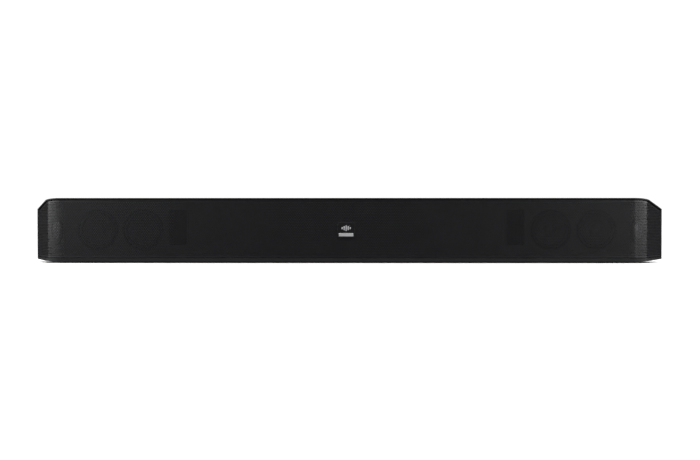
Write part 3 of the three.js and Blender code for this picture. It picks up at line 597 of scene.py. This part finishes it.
PLUS = [(-0.3, -2), (0.3, -2), (0.3, -0.3), (2, -0.3), (2, 0.3), (0.3, 0.3), (0.3, 2), (-0.3, 2),
        (-0.3, 0.3), (-2, 0.3), (-2, -0.3), (-0.3, -0.3)]
SOURCE = [(-2.6, 0.3), (0.2, 0.3), (0.2, 1.5), (2, 0), (0.2, -1.5), (0.2, -0.3), (-2.6, -0.3)]
SYMBOLS = {"power": power_sign(), "source": [SOURCE, rounded(2.6, 0, 0.5, 3.6, 0.2)],
           "volume_down": [rounded(0, 0, 4, 0.6, 0.25)], "volume_up": [PLUS]}
BUTTON_RISE = 0.8 * MM  # of each cap above the sloping top
SUNK = (0, 0, -0.04 * MM)  # a symbol starts just inside its cap
for label, loops in SYMBOLS.items():
    node = f"button_{label}"
    softened(node, 0.35, body=node)
    low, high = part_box(node)
    face = Vector(((low.x + high.x) / 2, BUTTON_Y + BUTTON_RISE * math.sin(TOP_TILT),
                   top_z(BUTTON_Y) + BUTTON_RISE * math.cos(TOP_TILT)))
    at = Matrix.Translation(face) @ Matrix.Rotation(-TOP_TILT, 4, "X") @ Matrix.Translation(SUNK)
    piece(f"{node}_symbol", plate(loops, PRINT_THICKNESS, at), "mark_print", node)

# ---------- Badge: a dark plaque with a bright bar and a plain motif of five sound bars ----------

softened("badge_plate", 0.4, 3)
softened("badge_bar", 0.25)
badge = centre("badge_plate")
BADGE_FACE_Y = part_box("badge_plate")[0].y
MOTIF_HEIGHTS = (3.4, 6.0, 8.4, 6.0, 3.4)
MOTIF_PITCH = 2.9
motif = [rounded((i - 2) * MOTIF_PITCH, 0, 1.5, height, 0.7) for i, height in enumerate(MOTIF_HEIGHTS)]
motif_place = front_place(badge.x, BADGE_FACE_Y + 0.05 * MM, badge.z + 3.2 * MM)
piece("badge_motif", plate(motif, 0.3, motif_place, 0.08), "badge_metal")

# ---------- Drivers behind the grille ----------

# Sections as [radius, depth] in mm, with depth counted back from the front of the basket or faceplate.
BASKET = [(27.1, 0.4), (27.3, 0), (29.6, 0), (30, 0.4), (30, 1.5), (28.3, 1.5), (27.6, 4.2), (27, 7),
          (16, 22), (9.8, 22), (9.8, 20.8), (15.3, 20.8), (25.8, 6.6)]
SURROUND = [(21.9, 1.6), (22.1, 0.6), (22.5, -0.3), (23.3, -1), (24.25, -1.2), (25.2, -1), (26, -0.3),
            (26.4, 0.6), (26.6, 1.6), (26.1, 1.2), (25.5, 0.6), (24.9, 0.2), (24.25, 0.1), (23.6, 0.2),
            (23, 0.6), (22.4, 1.2)]
CONE = [(0, 6.4), (2.5, 6.6), (4.8, 7.3), (6.8, 8.6), (8.4, 10.6), (8.9, 11.9), (9.4, 11.9), (12, 9.5),
        (15, 6.9), (18, 4.2), (21, 1.6), (21.6, 2.2), (18.4, 5.2), (12.4, 10.9), (8.8, 14.6), (8.8, 29),
        (8, 29), (8, 13.4), (6.2, 10.8), (3.4, 8.9), (0, 8.4)]
MOTOR = [(0, 22.1), (7.3, 22.1), (7.3, 33), (9.4, 33), (9.4, 22.1), (16.6, 22.1), (17, 22.5), (17, 25.1),
         (18.7, 25.1), (19, 25.4), (19, 34.8), (18.7, 35.1), (17, 35.1), (17, 37.7), (16.6, 38.1), (0, 38.1)]
WOOFER_PARTS = (("basket", BASKET, "driver_steel"), ("surround", SURROUND, "surround_rubber"),
                ("cone", CONE, "cone_paper"), ("motor", MOTOR, "motor_ferrite"))
for label in ("outer_left", "inner_left", "inner_right", "outer_right"):
    name = f"woofer_{label}"
    middle = centre(f"{name}_basket")
    at = Matrix.Translation((middle.x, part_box(f"{name}_basket")[0].y, middle.z))
    for part, profile, slot in WOOFER_PARTS:
        body = f"{name}_cone" if part == "cone" else "cabinet"
        piece(f"{name}_{part}_finished", turned(profile, at), slot, body, stands_for=[f"{name}_{part}"])

TWEETER_TURN = math.radians(48)
FACEPLATE = [(13.4, 1.6), (14.6, 1.2), (17.5, 0.5), (20.2, 0), (21.4, 0.1), (22, 0.8), (22, 3), (13.4, 3)]
DOME = [(0, -0.4), (2.2, -0.2), (4.2, 0.4), (6.2, 1.3), (8, 2.5), (9.4, 3.7), (10, 4.4), (10.4, 3.5),
        (11.2, 2.9), (12.2, 3.1), (13, 4), (13, 4.5), (11.6, 3.8), (10.3, 4.9), (10.3, 9), (9.7, 9),
        (9.7, 4.9), (7.4, 2.9), (3.8, 0.9), (0, 0.5)]
TWEETER_MOTOR_DEPTH = 10.55 * MM  # from the faceplate back to the middle of the motor
for side, label in ((-1, "left"), (1, "right")):
    motor = centre(f"tweeter_{label}_motor")
    # The turned pieces share an axis through the middle of the motor.
    out = Vector((side * math.sin(TWEETER_TURN), -math.cos(TWEETER_TURN), 0))
    face = motor + out * TWEETER_MOTOR_DEPTH
    at = Matrix.Translation(face) @ Matrix.Rotation(side * TWEETER_TURN, 4, "Z")
    for part, profile, slot in (("faceplate", FACEPLATE, "baffle_plastic"), ("dome", DOME, "dome_silk")):
        body = f"tweeter_{label}_dome" if part == "dome" else "cabinet"
        node = f"tweeter_{label}_{part}"
        piece(f"{node}_finished", turned(profile, at), slot, body, stands_for=[node])

# ---------- Camera, floor and light ----------

CAMERA_AWAY = 2.2
CAMERA_PLACE = Vector((0.0971, FRONT_Y - CAMERA_AWAY, 0.06))
CAMERA_TURN = math.radians(-0.8)  # the picture plane is almost parallel to the front
CAMERA_DIP = 0.012 / CAMERA_AWAY  # looks down a little, to the middle of the front
CAMERA_LENS = 78.21
CAMERA_SHIFT = -0.06


def camera_view():
    data = bpy.data.cameras.new("camera")
    camera = bpy.data.objects.new("camera", data)
    bpy.context.scene.collection.objects.link(camera)
    data.lens = CAMERA_LENS
    data.shift_x = CAMERA_SHIFT
    data.clip_start, data.clip_end = 0.05, 200
    camera.location = CAMERA_PLACE
    camera.rotation_euler = (math.pi / 2 - CAMERA_DIP, 0, -CAMERA_TURN)
    bpy.context.scene.camera = camera


def studio():
    """White floor and a pale studio that is bright overhead and dim near the horizon.

    The camera sees both as white, and the dark bar doesn't mirror the floor."""
    mesh = bpy.data.meshes.new("floor")
    work = bmesh.new()
    bmesh.ops.create_circle(work, cap_ends=True, radius=40, segments=64)
    work.to_mesh(mesh)
    work.free()
    floor = bpy.data.objects.new("floor", mesh)
    bpy.context.scene.collection.objects.link(floor)
    paint = bpy.data.materials.new("floor_paint")
    paint.use_nodes = True
    shader = paint.node_tree.nodes["Principled BSDF"]
    shader.inputs["Base Color"].default_value = (0.9, 0.9, 0.9, 1)
    shader.inputs["Roughness"].default_value = 1
    shader.inputs["Specular IOR Level"].default_value = 0
    mesh.materials.append(paint)
    floor.visible_glossy = False
    floor.visible_diffuse = False
    floor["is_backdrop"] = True

    world = bpy.data.worlds.new("studio")
    bpy.context.scene.world = world
    world.use_nodes = True
    nodes, links = world.node_tree.nodes, world.node_tree.links
    background = nodes["Background"]
    place = nodes.new("ShaderNodeTexCoord")
    split = nodes.new("ShaderNodeSeparateXYZ")
    links.new(place.outputs["Generated"], split.inputs["Vector"])
    climb = nodes.new("ShaderNodeMapRange")
    climb.interpolation_type = "SMOOTHSTEP"
    climb.inputs["From Min"].default_value = 0.18
    climb.inputs["From Max"].default_value = 0.8
    climb.inputs["To Min"].default_value = 0.07
    climb.inputs["To Max"].default_value = 1.85
    links.new(split.outputs["Z"], climb.inputs["Value"])
    path = nodes.new("ShaderNodeLightPath")
    seen = nodes.new("ShaderNodeMix")
    seen.data_type = "FLOAT"
    seen.inputs["B"].default_value = 1.05
    links.new(path.outputs["Is Camera Ray"], seen.inputs["Factor"])
    links.new(climb.outputs["Result"], seen.inputs["A"])
    links.new(seen.outputs["Result"], background.inputs["Strength"])
    background.inputs["Color"].default_value = (1, 1, 1, 1)


def softbox(name, place, target, width, height, power):
    data = bpy.data.lights.new(name, "AREA")
    data.shape = "RECTANGLE"
    data.size, data.size_y = width, height
    data.energy = power
    light = bpy.data.objects.new(name, data)
    bpy.context.scene.collection.objects.link(light)
    light.location = place
    light.rotation_euler = (Vector(target) - Vector(place)).to_track_quat("-Z", "Y").to_euler()
    light.visible_camera = False
    return light


camera_view()
studio()
END_X = CORNER_X + GRILLE_RADIUS
for label, side, fill in (("left", -1, 5), ("right", 1, 8.5)):
    end = Vector((side * END_X, 0, 0.08))
    softbox(f"softbox_{label}", end + Vector((side * 1.17, -0.36, 0.37)), end, 2.05, 0.8, 19)
    softbox(f"end_fill_{label}", end + Vector((side, -2.5, 0.3)), end, 0.8, 0.6, fill)
softbox("front_fill", (0, -3.2, 1.0), (0, 0, 0.05), 3, 1.4, 3)
scene = bpy.context.scene
scene.view_settings.view_transform = "Standard"
scene.view_settings.look = "None"

low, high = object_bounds()
